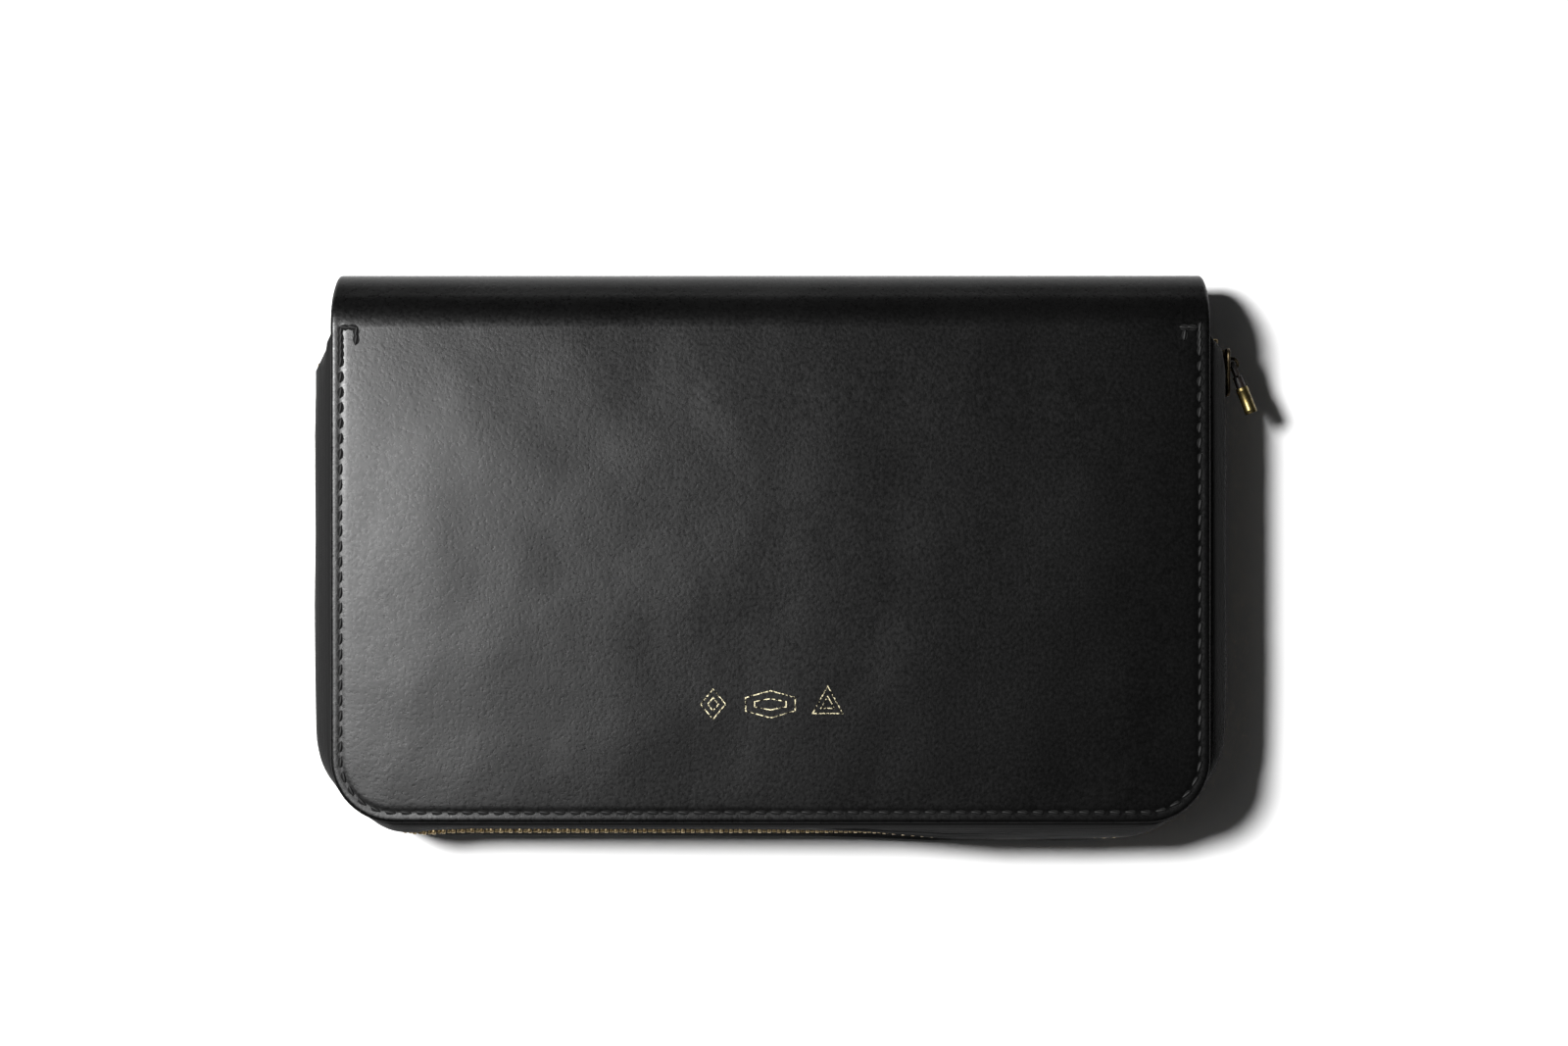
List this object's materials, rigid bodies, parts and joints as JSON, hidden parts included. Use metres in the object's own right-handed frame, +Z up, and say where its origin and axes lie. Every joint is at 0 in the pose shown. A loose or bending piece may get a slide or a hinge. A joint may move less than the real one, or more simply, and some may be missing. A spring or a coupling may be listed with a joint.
{
  "type": "zip around wallet",
  "caption": "Travel wallet of smooth leather, two hinged halves joined by a rounded spine and closed by a zip on three sides, with card, note and coin pockets inside.",
  "frame": {"origin": "centre of the flat back cover, on its outer face, which the wallet lies on", "axes": "+Y towards the rounded spine, +X towards the closed end of the zip, +Z up through the closed wallet"},
  "size_m": [0.218, 0.1308, 0.025],
  "materials": {
    "smooth_black_leather": "smooth, softly glossy",
    "lining_leather": "fine grain, matt",
    "zip_tape": "woven tape",
    "stiffener_board": "pressed board",
    "aged_brass": "aged, satin",
    "lace_leather": "cut lace"
  },
  "bodies": {
    "back": {"back_cover_leather": "smooth_black_leather", "back_stiffener_board": "stiffener_board", "back_lining": "lining_leather", "zip_tape_lower": "zip_tape", "zip_teeth_lower": "aged_brass", "zip_top_stop_lower": "aged_brass", "zip_bottom_stop": "aged_brass", "coin_pocket_panel": "lining_leather", "coin_pocket_facing": "lining_leather", "note_pocket_panel": "lining_leather", "coin_tape_spine_side": "zip_tape", "coin_tape_free_side": "zip_tape", "coin_teeth_spine_side": "aged_brass", "coin_teeth_free_side": "aged_brass", "coin_top_stop": "aged_brass", "coin_bottom_stop": "aged_brass"},
    "spine_lower": {"spine_leather_lower": "smooth_black_leather", "spine_lining_lower": "lining_leather"},
    "spine_middle": {"spine_leather_middle": "smooth_black_leather", "spine_lining_middle": "lining_leather"},
    "spine_upper": {"spine_leather_upper": "smooth_black_leather", "spine_lining_upper": "lining_leather"},
    "front": {"front_cover_leather": "smooth_black_leather", "front_stiffener_board": "stiffener_board", "front_lining": "lining_leather", "zip_tape_upper": "zip_tape", "zip_teeth_upper": "aged_brass", "zip_top_stop_upper": "aged_brass", "slip_pocket_panel": "lining_leather", "card_pocket_left_1": "lining_leather", "card_pocket_left_2": "lining_leather", "card_pocket_left_3": "lining_leather", "card_pocket_left_4": "lining_leather", "card_pocket_right_1": "lining_leather", "card_pocket_right_2": "lining_leather", "card_pocket_right_3": "lining_leather", "card_pocket_right_4": "lining_leather"},
    "zip_slider": {"zip_slider": "aged_brass"},
    "zip_pull": {"pull_lace": "lace_leather", "pull_ferrule": "aged_brass"},
    "coin_slider": {"coin_slider": "aged_brass"},
    "coin_pull": {"coin_pull": "aged_brass"}
  },
  "joints": [
    {"name": "spine_lower_fold", "type": "hinge", "parent": "back", "child": "spine_lower", "pos_m": [0, 0.05625, 0], "axis": [-1, 0, 0], "range_deg": [0, 30]},
    {"name": "spine_middle_fold", "type": "hinge", "parent": "spine_lower", "child": "spine_middle", "pos_m": [0, 0.06707, 0.00625], "axis": [-1, 0, 0], "range_deg": [0, 60]},
    {"name": "spine_upper_fold", "type": "hinge", "parent": "spine_middle", "child": "spine_upper", "pos_m": [0, 0.06707, 0.01875], "axis": [-1, 0, 0], "range_deg": [0, 60]},
    {"name": "front_cover_fold", "type": "hinge", "parent": "spine_upper", "child": "front", "pos_m": [0, 0.05625, 0.025], "axis": [-1, 0, 0], "range_deg": [0, 30]},
    {"name": "zip_slider_travel", "type": "slide", "parent": "back", "child": "zip_slider", "axis": [0, -1, 0], "range_m": [0, 0.073], "deforming": ["zip_teeth_lower", "zip_teeth_upper"]},
    {"name": "zip_pull_swing", "type": "hinge", "parent": "zip_slider", "child": "zip_pull", "pos_m": [0.1062, 0.04845, 0.0125], "axis": [0, 0, 1], "range_deg": [-12, 150]},
    {"name": "coin_slider_travel", "type": "slide", "parent": "back", "child": "coin_slider", "axis": [-1, 0, 0], "range_m": [0, 0.1475], "deforming": ["coin_teeth_spine_side", "coin_teeth_free_side"]},
    {"name": "coin_pull_lift", "type": "hinge", "parent": "coin_slider", "child": "coin_pull", "pos_m": [0.0749, -0.03325, 0.0083], "axis": [0, 1, 0], "range_deg": [0, 170]}
  ],
  "couplings": [
    {"joint": "spine_middle_fold", "follows": "spine_lower_fold", "ratio": 2},
    {"joint": "spine_upper_fold", "follows": "spine_lower_fold", "ratio": 2},
    {"joint": "front_cover_fold", "follows": "spine_lower_fold", "ratio": 1}
  ]
}
